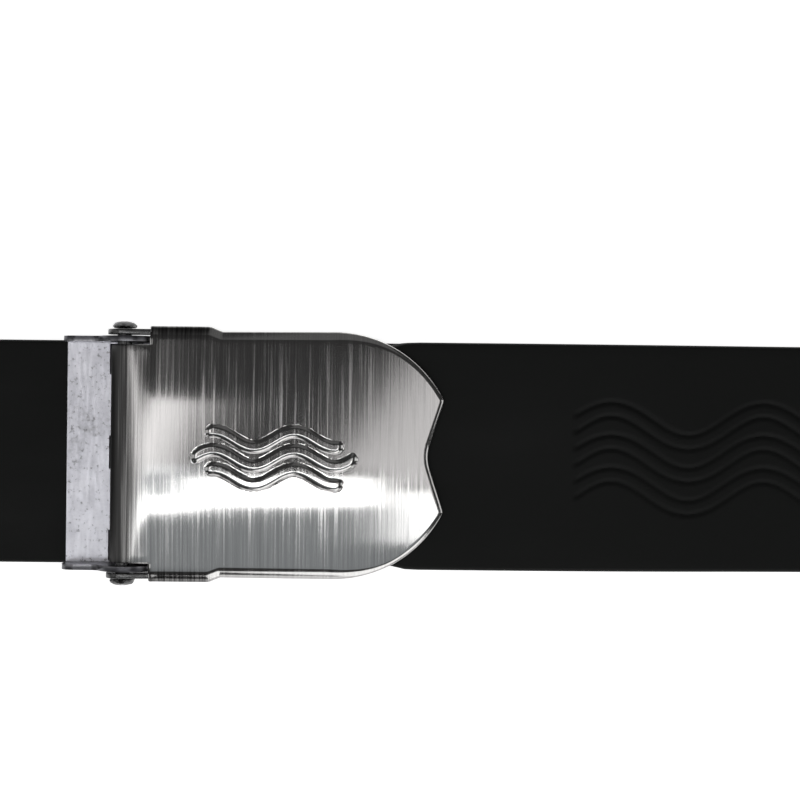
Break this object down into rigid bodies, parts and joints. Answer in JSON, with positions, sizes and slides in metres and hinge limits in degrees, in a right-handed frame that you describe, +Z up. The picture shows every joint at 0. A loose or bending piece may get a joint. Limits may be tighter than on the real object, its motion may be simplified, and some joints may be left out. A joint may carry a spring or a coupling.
{
  "type": "dive weight belt",
  "caption": "Rubber dive weight belt with a stainless cam buckle, closed and laid flat; the strap carries lead weights and the lever releases it.",
  "frame": {"origin": "centre of the belt's footprint on the surface that it lies on", "axes": "+X along the strap towards the lever's tip, +Y across the strap, +Z up, out of the buckle's front"},
  "size_m": [0.4634, 0.0578, 0.0434],
  "materials": {
    "strap_rubber": "smooth moulded black rubber, satin",
    "frame_steel": "mill-finish stainless sheet",
    "lever_steel": "stainless sheet brushed across its length",
    "pin_steel": "peened bright stainless pin",
    "rivet_steel": "polished rivets"
  },
  "bodies": {
    "belt": {"strap": "strap_rubber", "buckle_frame": "frame_steel", "hinge_pin": "pin_steel", "rivet_post_1": "rivet_steel", "rivet_post_2": "rivet_steel", "rivet_cap_1": "rivet_steel", "rivet_cap_2": "rivet_steel"},
    "lever": {"lever": "lever_steel"}
  },
  "joints": [
    {"name": "lever_hinge", "type": "hinge", "parent": "belt", "child": "lever", "pos_m": [-0.0604, 0, 0.0168], "axis": [0, -1, 0], "range_deg": [0, 140]}
  ]
}
